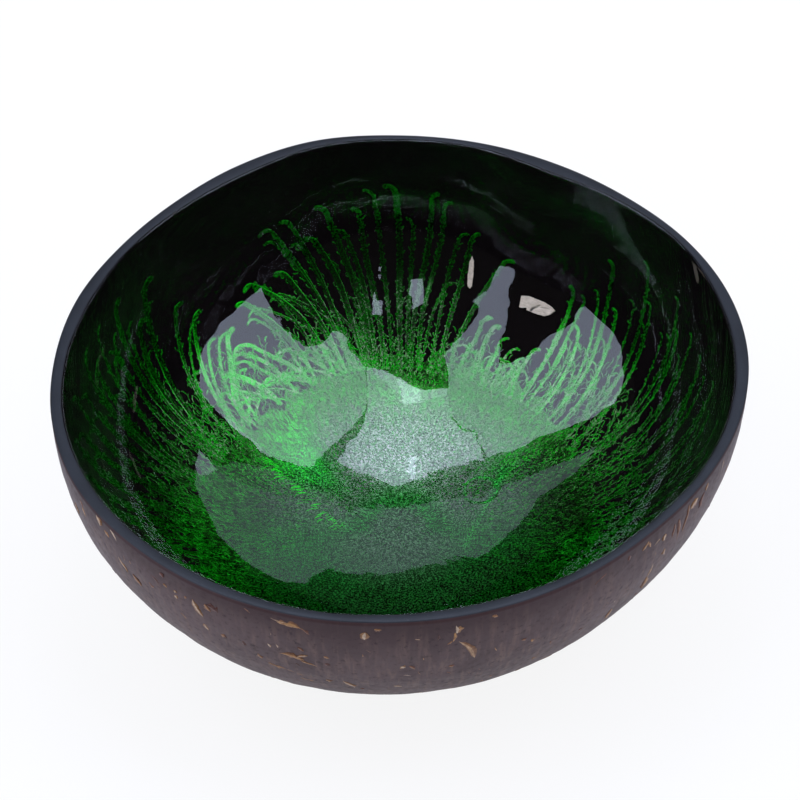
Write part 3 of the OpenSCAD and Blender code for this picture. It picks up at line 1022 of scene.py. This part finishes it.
def add_barbs(ribbons, stems, half, random):
    """Small hooks along both edges of the blades."""
    gaps = np.linalg.norm(np.diff(on_lacquer(*stems), axis=1), axis=-1)
    barbs = []
    for azimuth, row, widths, gap in zip(*stems, half, gaps):
        arc = np.concatenate([[0], np.cumsum(gap)])
        spacing, size = (
            np.interp(azimuth[-1] % 360, HOOK_AZIMUTHS, values) * MM
            for values in (HOOK_SPACINGS, HOOK_SIZES)
        )
        for side in (-1, 1):
            at = random.uniform(0, spacing)
            while at < 0.93 * arc[-1]:
                (a, b), (r, s) = (np.interp((at, at + 0.3 * MM), arc, v) for v in (azimuth, row))
                reach = RIM_R * radius_share(r)
                heading = math.atan2(math.radians(b - a) * reach, arc_at(r) - arc_at(s))
                edge = 0.75 * side * np.interp(at, arc, widths)
                barbs.append((
                    a + math.degrees(edge * math.cos(heading) / reach),
                    r + edge * math.sin(heading) / ARC_LENGTHS[-1],
                    heading + side * random.uniform(0.6, 1.3), side, size,
                ))
                at += spacing * random.uniform(0.5, 1.7)
    azimuth, row, heading, side, size = np.array(barbs).T
    n = len(barbs)
    length = size * random.uniform(0.5, 1.25, n)
    turn = -side * random.uniform(0.1, 0.5, n)
    path = wander(azimuth, row, heading, [turn] * (len(HOOK_TAPER) - 1), length)
    half = 0.19 * MM * np.outer(random.uniform(0.7, 1.25, n), HOOK_TAPER)
    ribbons.add(path, half, 0.05 * MM, random.uniform(0.5, 1, n), CURL_SECTION)


def companions(mains, random, spread, lowest, highest):
    """A narrower strand beside each main one, whose tip stays lower."""
    return [
        (
            tip_azimuth + random.normal(0, spread),
            min(0.55, tip_row + random.uniform(lowest, highest)),
            root_azimuth + random.normal(0, spread),
        )
        for tip_azimuth, tip_row, root_azimuth in mains
    ]


# The last sections of a strand, at its tip
TIP_TAPER = (0.92, 0.95, 0.9, 0.7, 0.35)


def make_strands():
    random = np.random.default_rng(42)
    mains = list(STRANDS) + hidden_strands()
    beside = companions(mains, random, 1.2, 0.02, 0.14)
    beside = [strand for strand in beside if not 68 < strand[0] < 108]
    low = companions(mains, random, 1.8, 0.16, 0.36)
    ribbons = Ribbons()
    # Width and lift in millimetres
    for strands, width, lift in ((low, 0.34, 0.04), (beside, 0.36, 0.045), (mains, 0.62, 0.055)):
        path = stem_paths(strands, random)
        n, k = path[0].shape
        share = np.linspace(0, 1, k - len(TIP_TAPER))
        taper = np.append(np.interp(share, (0, 0.25, 0.45, 1), (0.45, 0.95, 1.15, 0.9)), TIP_TAPER)
        knobs = 1 + 0.08 * random.uniform(-1, 1, (n, k))
        breadth = width * (0.6 + 0.55 * leftness(path[0][:, -1])) * random.uniform(0.6, 1.15, n)
        half = breadth[:, None] * MM * taper * knobs
        ribbons.add(path, half, lift * MM, random.uniform(0.2, 0.8, n), BLADE_SECTION)
        add_barbs(ribbons, path, half, random)
    dark, bright, glint = (0.001, 0.03, 0.001), (0.006, 0.32, 0.006), (0.11, 0.18, 0.085)
    material = splash_material("green_strands", dark, bright, glint, (0.16, 0.30), 0.22)
    return ribbons.made("splash_strands", material)


def pool_edge(azimuth):
    """Row of the pool's upper edge, scalloped between the strands."""
    scallops = 0.012 * sine(31 * azimuth) + 0.008 * sine(53 * azimuth + 40)
    return 0.615 + 0.02 * sine(3 * azimuth + 60) + scallops


# Heights over the black lacquer of the pool's face and of its hidden underside
POOL_LIFT = 0.025 * MM
POOL_ROOT = -0.03 * MM


def make_pool():
    around = azimuths(COAT_COLUMNS)
    edge = pool_edge(around)
    share = rows_between(0, 1, 120)
    rows = edge + (FACE_END - edge) * share
    uneven = Ripples(51, 1.5 * MM, 5 * MM, 0.008 * MM).at(on_lacquer(around, rows))
    face = on_lacquer(around, rows, POOL_LIFT + uneven * unit(share / 0.05))
    under_rows = edge + (HIDDEN_END - edge) * rows_between(1, 0, 30)
    under = on_lacquer(around, under_rows, POOL_ROOT)
    rings = np.concatenate([under, face])
    piece = lofted("splash_pool", rings, on_lacquer(0, 1, POOL_ROOT), face[-1].mean(0))
    centre = np.concatenate([0 * under_rows, unit((rows - 0.68) / 0.14)])
    all_rows = np.concatenate([under_rows, rows])
    set_attribute(piece, "centre", np.append(centre, [0, 0]))
    set_attribute(piece, "gain", np.append(green_gain(around, all_rows), [1, 1]))
    set_attribute(piece, "pale", np.append(paleness(around, all_rows), [1, 1]))
    wall_uv(piece)
    return finish_piece(piece, "green_splash", pool_material())


# Rows that the curls reach up to, by azimuth
CURL_AZIMUTHS = (0, 40, 48, 54, 64, 85, 105, 126, 134, 142, 165, 200, 280, 360)
CURL_TOPS = (0.50, 0.40, 0.46, 0.57, 0.54, 0.54, 0.53, 0.49, 0.46, 0.44, 0.50, 0.46, 0.50, 0.50)


def add_comb(ribbons, random):
    """Hooks side by side along the first seam, like the teeth of a worn comb."""
    count = 64
    share = np.sort(random.uniform(0, 1, count))
    azimuth, row = (np.interp(share, (0, 0.4, 0.7, 1), v) for v in zip(*GREEN_SEAMS[0][0]))
    row = row + random.normal(0, 0.008, count)
    azimuth = azimuth + random.normal(0.6, 0.9, count) * 0.25 / (1.02 - row)
    size = np.linspace(2.9, 1.3, count) * random.uniform(0.5, 1.2, count) * MM
    turns = np.outer((0, 0.1, 0.25, 0.4, 0.5), random.uniform(0.4, 1.5, count))
    path = wander(azimuth, row, random.normal(0.55, 0.28, count), turns, size)
    half = np.outer(random.uniform(0.10, 0.19, count), CURL_TAPER) * MM
    ribbons.add(path, half, 0.10 * MM, random.uniform(0.5, 1, count), CURL_SECTION, boost=0.6)


CURLS_TRIED = 20000
# Changes of a curl's heading along its length, in radians
CURL_TURNS = (0.05, 0.15, 0.35, 0.55, 0.7)


def curl_places(random):
    """Rows and azimuths of the curls, strewn evenly over the pool and thinned out above it."""
    highest, lowest = arc_at(0.37), ARC_LENGTHS[-1] - 2 * MM
    row = row_down(lowest - np.sqrt(random.uniform(0, 1, CURLS_TRIED)) * (lowest - highest))
    azimuth = random.uniform(0, 360, CURLS_TRIED)
    top = np.interp(azimuth, CURL_AZIMUTHS, CURL_TOPS) - 0.03
    keep = row > top + 0.10 * random.uniform(0, 1, CURLS_TRIED)
    keep &= random.uniform(0, 1, CURLS_TRIED) < np.interp(row, [0.5, 0.6, 0.68], [0.55, 0.75, 1])
    return row[keep], azimuth[keep]


def make_curls():
    """Short curling strokes that cover the pool, longest where the strands part from it."""
    random = np.random.default_rng(61)
    row, azimuth = curl_places(random)
    n = len(row)
    near = unit(-1.3 * sine(azimuth))
    smaller = 1 - 0.3 * near
    size = np.interp(row, [0.5, 0.72, 0.95], [2.3, 1.5, 0.8]) * random.uniform(0.6, 1.3, n)
    side = np.sign(random.normal(size=n))
    heading = random.normal(0, 0.45, n)
    path = wander(azimuth, row, heading, np.outer(CURL_TURNS, side), size * smaller * MM)
    half = np.interp(row, [0.5, 0.7, 0.9], [0.21, 0.14, 0.07]) * random.uniform(0.7, 1.25, n)
    lift = np.interp(row, [0.5, 0.9], [1, 0.5]) * random.uniform(0.055, 0.085, n) * smaller
    half, lift = np.outer(half * smaller, CURL_TAPER) * MM, lift[:, None] * MM
    tone = random.uniform(0, 1, n) ** 1.3 * (1 - 0.6 * near)
    ribbons = Ribbons()
    ribbons.add(path, half, lift, tone, CURL_SECTION)
    add_comb(ribbons, random)
    dark, bright, glint = (0.001, 0.015, 0.001), (0.010, 0.32, 0.010), (0.08, 0.15, 0.055)
    material = splash_material("green_curls", dark, bright, glint, (0.14, 0.40), 0.14)
    return ribbons.made("splash_curls", material)


# Chips: azimuth and row, size up the wall and across it, and outlines and cracks in shares of that
# size. A crack's points also give its half width in millimetres and its darkness
CHIP_PLACE, CHIP_SIZE = (57.4, 0.384), (3.5 * MM, 8.7 * MM)
CHIP_OUTLINE = (
    (0.37, 0.47), (0.53, 0.28), (0.53, 0.07), (0.55, -0.17), (0.47, -0.38), (0.33, -0.50),
    (-0.04, -0.42), (-0.30, -0.29), (-0.38, -0.10), (-0.40, 0.10), (-0.40, 0.22), (-0.18, 0.25),
    (-0.20, 0.31), (-0.38, 0.35), (-0.40, 0.43), (-0.17, 0.44),
)
CHIP_CRACKS = (
    ((-0.30, 0.10, 0.28, 1.0), (-0.14, 0.07, 0.26, 0.9), (0.04, -0.01, 0.20, 0.7),
     (0.23, -0.07, 0.16, 0.5)),
    ((0.12, -0.12, 0.10, 0.35), (0.22, -0.23, 0.22, 0.4), (0.28, -0.35, 0.12, 0.25)),
    ((-0.20, -0.02, 0.06, 0.3), (-0.12, -0.20, 0.06, 0.35), (-0.02, -0.30, 0.05, 0.2)),
)
SLIVER_PLACE, SLIVER_SIZE = (74.0, 0.345), (7.6 * MM, 1.4 * MM)
SLIVER_OUTLINE = (
    (0.50, 0.25), (0.35, -0.15), (-0.02, -0.40), (-0.42, -0.50),
    (-0.50, -0.25), (-0.44, 0.20), (-0.13, 0.45), (0.33, 0.50),
)
SLIVER_CRACKS = (((0.05, -0.35, 0.05, 0.35), (-0.05, 0.0, 0.06, 0.4), (0.0, 0.35, 0.05, 0.3)),)


def crack_depth(flat, size, cracks):
    """Darkness of the cracks at points of the chip's plane."""
    depth = np.zeros(len(flat))
    for crack in cracks:
        for (u, v, half, dark), (s, t, other_half, other_dark) in zip(crack, crack[1:]):
            start, run = np.array((u, v)) * size, np.array((s - u, t - v)) * size
            share = unit((flat - start) @ run / (run @ run))
            distance = np.linalg.norm(flat - start - share[:, None] * run, axis=1)
            reach = (half + (other_half - half) * share) * MM
            level = (dark + (other_dark - dark) * share) * unit(1.5 - distance / reach)
            depth = np.maximum(depth, level)
    return depth


# Rings of a chip's face, in shares of its outline, round a point a little up the wall
CHIP_RINGS = (1, 0.985, 0.96, 0.92, 0.86, 0.8, 0.73, 0.66, 0.58, 0.5, 0.42, 0.34, 0.25, 0.16, 0.08)
CHIP_MIDDLE = (0.06, 0)
# The chips stand a little proud of the clear coat
CHIP_T = CLEAR_T + 0.08 * MM
CRACK_DEPTH = 0.16 * MM


def torn(corners, random):
    """Closed outline through the corners, with small unevenness between them."""
    edge = []
    for here, after in zip(corners, np.roll(corners, -1, 0)):
        for t in np.linspace(0, 1, 8, endpoint=False):
            edge.append(here + (after - here) * t + random.normal(0, 0.025 * MM, 2) * (t > 0))
    return np.array(edge)


def make_chip(kind, place, size, outline, cracks, seed):
    """Thin plate of eggshell that follows the wall, with a torn edge."""
    azimuth, row = place
    edge = torn(np.array(outline) * size, np.random.default_rng(seed))
    middle = np.array(CHIP_MIDDLE) * size
    reach = RIM_R * ring_value(RIM_SHARES, azimuth) * radius_share(row) - 3 * MM

    def placed(flat, lift):
        up, across = flat.T
        return on_lacquer(azimuth + np.degrees(across / reach), row_down(arc_at(row) - up), lift)

    rough = Ripples(seed, 0.8 * MM, 3 * MM, 0.025 * MM)
    rings, darkness = [placed(edge, 0.0)], [np.zeros(len(edge))]
    for share in CHIP_RINGS:
        flat = middle + (edge - middle) * share
        dark = crack_depth(flat, size, cracks)
        ring = placed(flat, CHIP_T * (0.8 if share == 1 else 1.05) - CRACK_DEPTH * dark)
        if share < 1:
            ring = ring + inward(azimuth, row) * rough.at(ring)[:, None]
        rings.append(ring)
        darkness.append(dark)
    piece = lofted("chip_" + kind, np.array(rings), rings[0].mean(0), rings[-1].mean(0))
    set_attribute(piece, "crack", np.append(darkness, [0, darkness[-1].mean()]))
    return finish_piece(piece, "eggshell_chip_" + kind, eggshell_material())


# Floor, lamps and camera

FLOOR_HALF = 3.0
FLOOR_GAP = 0.02 * MM
BACKDROP_Y = 1.5
BACKDROP_X = (-1.85, 2.5)
BACKDROP_RISE = 0.5
PAINT = 0.82
LAMP_DISTANCE = 1.25
LAMP_STEP = 30 * MM
LAMP_TARGET = np.array((0, 0, RIM_Z / 2))
LAMP_COLOUR = (0.70, 0.77, 1.0)
# The world, as matt faces, glossy faces and the camera see it
ROOM = {"Color": (0.95, 0.97, 1.0), "Strength": 0.22}
GLOSSY_ROOM = {"Color": (1.0, 1.0, 0.9), "Strength": 0.03}
WHITE = {"Color": (1, 1, 1), "Strength": 1}


def add_stage(name, verts, faces, material):
    panel = add_mesh(name, verts, faces, smooth=False)
    panel.data.materials.append(material)
    return panel


def paint_material(name, camera_share, glossy_share):
    """Plain pale paint that looks white to the camera and in reflections, and keeps its shadows."""
    nodes = new_material(name)
    colour = nodes.tones(nodes.noise(3, 2, 0.5), 0.99 * PAINT, PAINT)
    paint = nodes.add("BsdfDiffuse", {"Color": colour})
    mirrored = nodes.math("MAXIMUM", nodes.ray("Glossy"), nodes.ray("Transmission"))
    seen = nodes.times(nodes.ray("Camera"), camera_share)
    share = nodes.math("MAXIMUM", seen, nodes.times(mirrored, glossy_share))
    return nodes.surface(nodes.either(share, paint, nodes.glow((1, 1, 1), 1.0)))


def make_stage():
    far, quad = FLOOR_HALF, [[0, 1, 2, 3]]
    corners = [(-far, -far, 0), (far, -far, 0), (far, far, 0), (-far, far, 0)]
    floor = add_stage("floor", corners, quad, paint_material("floor_paint", 0.88, 0.45))
    floor.location.z = -FLOOR_GAP
    (left, right), back, top = BACKDROP_X, BACKDROP_Y, BACKDROP_RISE
    corners = [(left, back, 0), (right, back, 0), (right, back, top), (left, back, top)]
    add_stage("backdrop", corners, quad, paint_material("backdrop_paint", 0.9, 0.9))


def make_world():
    world = bpy.data.worlds.new("studio")
    bpy.context.scene.world = world
    nodes = Nodes(world, "ShaderNodeOutputWorld")
    room, glossy, white = (nodes.add("Background", light) for light in (ROOM, GLOSSY_ROOM, WHITE))
    lit = nodes.either(nodes.ray("Glossy"), room, glossy)
    nodes.surface(nodes.either(nodes.ray("Camera"), lit, white))


def pixels_of(points):
    """Pixels of the photograph in which the camera sees points."""
    offset = points - np.array(CAMERA_PLACE)
    depth = offset @ (0, math.cos(TILT), -math.sin(TILT))
    rise = offset @ (0, math.sin(TILT), math.cos(TILT))
    seen = np.stack([offset[..., 0], -rise], -1) / depth[..., None]
    return PHOTO_SIZE * (0.5 + seen * CAMERA_LENS / SENSOR_W)


def seen_places(pixels):
    """Azimuths and rows at which the camera sees the clear coat's face in pixels."""
    grid = np.meshgrid(np.arange(0, 360, 1.5), np.linspace(0.02, 0.98, 120))
    azimuth, row = (values.ravel() for values in grid)
    turn, fall = 0.1, 0.001
    points = clear_face(azimuth, row)
    hidden = np.sum(inward(azimuth, row) * (np.array(CAMERA_PLACE) - points), 1) < 0
    gaps = np.linalg.norm(pixels[:, None] - pixels_of(points), axis=2) + PHOTO_SIZE * hidden
    nearest = gaps.argmin(1)
    azimuth, row = azimuth[nearest], row[nearest]
    for _ in range(8):
        here = pixels_of(clear_face(azimuth, row))
        slopes = np.stack([
            (pixels_of(clear_face(azimuth + turn, row)) - here) / turn,
            (pixels_of(clear_face(azimuth, row + fall)) - here) / fall,
        ], -1)
        step = np.linalg.solve(slopes, (pixels - here)[..., None])[..., 0]
        azimuth = azimuth + np.clip(step[:, 0], -3, 3)
        row = np.clip(row + np.clip(step[:, 1], -0.02, 0.02), 0.005, 0.99)
    return azimuth, row


def mirrored(pixels, distance):
    """Points at a distance from the bowl's middle that the clear coat mirrors into pixels."""
    azimuth, row = seen_places(pixels)
    place = clear_face(azimuth, row)
    turn, fall = 0.2, 0.002
    around = clear_face(azimuth + turn, row) - clear_face(azimuth - turn, row)
    down = clear_face(azimuth, row + fall) - clear_face(azimuth, row - fall)
    normal = np.cross(around, down)
    normal /= np.linalg.norm(normal, axis=1)[:, None]
    ray = place - np.array(CAMERA_PLACE)
    ray /= np.linalg.norm(ray, axis=1)[:, None]
    ray -= 2 * np.sum(ray * normal, 1)[:, None] * normal
    start = place - LAMP_TARGET
    run = np.sum(start * ray, 1)
    reach = np.sqrt(run ** 2 + distance ** 2 - np.sum(start ** 2, 1)) - run
    return place + ray * reach[:, None]


# Lamps, as the outlines of their reflections in the clear coat: corners in the photo, in pixels
SOFTBOX_LEFT = (
    (260, 285), (265, 297), (272, 310), (280, 322), (285, 330), (293, 338), (303, 346), (310, 349),
    (320, 346), (328, 339), (333, 331), (340, 331), (348, 338), (350, 348), (358, 358), (366, 369),
    (367, 395), (365, 409), (361, 416), (355, 425), (343, 436), (330, 445), (318, 459), (310, 469),
    (300, 467), (290, 462), (272, 455), (262, 450), (252, 440), (237, 430), (227, 417), (212, 406),
    (202, 397), (199, 388), (199, 372), (200, 357), (204, 347), (210, 337), (217, 332), (220, 325),
    (226, 314), (240, 304), (252, 295),
)
SOFTBOX_RIGHT = (
    (500, 265), (507, 266), (515, 270), (512, 282), (509, 290), (509, 305), (506, 320), (504, 332),
    (500, 343), (499, 357), (500, 363), (508, 365), (517, 360), (527, 355), (535, 350), (540, 343),
    (550, 334), (560, 329), (568, 325), (574, 322), (575, 315), (580, 309), (587, 306), (597, 315),
    (605, 322), (614, 334), (620, 345), (622, 357), (621, 365), (624, 377), (622, 390), (615, 402),
    (597, 415), (582, 422), (565, 429), (542, 436), (530, 442), (512, 450), (498, 455), (487, 456),
    (484, 450), (480, 442), (478, 433), (473, 430), (464, 429), (455, 421), (448, 416), (448, 391),
    (449, 375), (446, 365), (442, 355), (455, 342), (467, 330), (479, 312), (477, 305), (472, 300),
    (487, 289), (492, 280),
)
SOFTBOX_TOP = (
    (367, 367), (381, 370), (394, 375), (404, 380), (413, 386), (425, 390), (440, 389), (448, 389),
    (448, 418), (455, 423), (464, 431), (476, 432), (479, 442), (481, 450), (481, 460), (467, 462),
    (452, 467), (437, 474), (428, 473), (425, 479), (412, 482), (400, 485), (390, 486), (378, 481),
    (362, 475), (349, 468), (340, 460), (344, 448), (355, 436), (363, 421), (367, 409), (367, 395),
)
TOP_EDGE = (
    (374, 369), (394, 375), (404, 380), (413, 386), (425, 390), (448, 389), (447, 396), (430, 398),
    (424, 404), (402, 404), (397, 394), (388, 384), (376, 376),
)
TOP_BLOB = ((399, 379), (413, 387), (422, 390), (420, 403), (402, 403), (399, 393))
TOP_STREAK = ((403, 404), (419, 404), (417, 430), (416, 456), (405, 456), (404, 430))
LOW_STREAK = ((406, 456), (415, 456), (416, 470), (416, 480), (406, 481), (406, 470))
EDGE_LEFT = (
    (229, 417), (240, 426), (252, 436), (266, 448), (262, 450), (252, 441), (238, 431), (228, 420),
    (214, 408),
)
EDGE_RIGHT = (
    (560, 427), (575, 420), (597, 406), (612, 396), (618, 400), (598, 414), (582, 422), (566, 429),
)
DIM_PANEL = (
    (196, 477), (208, 474), (217, 470), (240, 480), (270, 492), (300, 500), (330, 508), (355, 506),
    (380, 504), (405, 506), (430, 503), (455, 497), (490, 491), (520, 480), (550, 468), (580, 454),
    (596, 446), (584, 464), (570, 476), (555, 486), (538, 498), (528, 514), (512, 532), (496, 546),
    (474, 558), (450, 559), (432, 560), (416, 566), (404, 572), (386, 574), (355, 574), (330, 573),
    (315, 575), (305, 584), (289, 584), (273, 578), (255, 568), (241, 558), (231, 548), (219, 536),
    (211, 520), (201, 500), (195, 486),
)
DIM_VEIL = (
    (197, 449), (207, 458), (217, 466), (235, 462), (262, 468), (285, 478), (310, 488), (335, 498),
    (352, 506), (330, 512), (300, 504), (270, 496), (240, 484), (217, 474), (204, 477), (196, 478),
)
DIM_CORNER = ((197, 449), (206, 457), (217, 470), (209, 474), (199, 475), (196, 464))
NEAR_RIGHT = (
    (410, 279), (422, 278), (425, 295), (425, 302), (417, 306), (410, 311), (412, 304), (408, 295),
)
NEAR_LEFT = ((373, 291), (375, 297), (376, 300), (382, 301), (382, 314), (372, 314))
UPPER_DOT = ((378, 267), (381, 267), (381, 271), (378, 271))
LOWER_DOT = ((379, 275), (382, 276), (381, 279), (379, 279))

# Lamps: name, outline, strength, and how many steps nearer they hang, to cover those behind them
LAMPS = (
    ("softbox_right", SOFTBOX_RIGHT, 4.0, 0), ("softbox_left", SOFTBOX_LEFT, 4.0, 0),
    ("softbox_top", SOFTBOX_TOP, 5.0, 0), ("top_edge", TOP_EDGE, 7.0, 1),
    ("top_blob", TOP_BLOB, 11.0, 2), ("top_streak", TOP_STREAK, 5.4, 2),
    ("low_streak", LOW_STREAK, 11.5, 2), ("edge_left", EDGE_LEFT, 6.0, 1),
    ("edge_right", EDGE_RIGHT, 6.0, 1), ("dim_veil", DIM_VEIL, 0.6, 0),
    ("dim_panel", DIM_PANEL, 1.0, 1), ("dim_corner", DIM_CORNER, 2.8, 2),
    ("near_left", NEAR_LEFT, 5.5, 0), ("near_right", NEAR_RIGHT, 5.5, 0),
    ("near_dot_0", UPPER_DOT, 4.4, 0), ("near_dot_1", LOWER_DOT, 4.4, 0),
)


def add_lamp(name, outline, strength, distance):
    """Glowing panel over the bowl whose reflection in the clear coat has the given outline."""
    corners = np.array(outline, float)
    after = np.roll(corners, -1, 0)
    edges = [corners + (after - corners) * t for t in (0, 0.25, 0.5, 0.75)]
    points = mirrored(np.stack(edges, 1).reshape(-1, 2), distance)
    # Seen from the bowl, the panel's outline lies on a sphere, and is laid flat to be filled
    flat = (points - LAMP_TARGET) / distance
    flat = flat[:, :2] / (1 + flat[:, 2:])
    faces = [list(face) for face in tessellate_polygon([[Vector((x, y, 0)) for x, y in flat]])]
    nodes = new_material(name)
    panel = add_stage(name, points, faces, nodes.surface(nodes.glow(LAMP_COLOUR, strength)))
    panel.visible_camera = False


def make_camera():
    data = bpy.data.cameras.new("camera")
    data.sensor_width = SENSOR_W
    data.lens = CAMERA_LENS
    data.clip_start = 10 * MM
    camera = bpy.data.objects.new("camera", data)
    bpy.context.collection.objects.link(camera)
    camera.location = CAMERA_PLACE
    camera.rotation_euler = (CAMERA_PLACE - CAMERA_AIM).to_track_quat("Z", "Y").to_euler()
    bpy.context.scene.camera = camera


def build():
    make_camera()
    make_world()
    make_stage()
    for name, outline, strength, steps in LAMPS:
        add_lamp(name, outline, strength, LAMP_DISTANCE - steps * LAMP_STEP)
    make_shell()
    make_flecks()
    make_plug()
    make_lining()
    make_rim_coat()
    make_pool()
    make_curls()
    make_strands()
    make_clear_coat()
    make_chip("large", CHIP_PLACE, CHIP_SIZE, CHIP_OUTLINE, CHIP_CRACKS, 71)
    make_chip("small", SLIVER_PLACE, SLIVER_SIZE, SLIVER_OUTLINE, SLIVER_CRACKS, 72)
    bpy.context.scene.view_settings.view_transform = "Standard"


build()
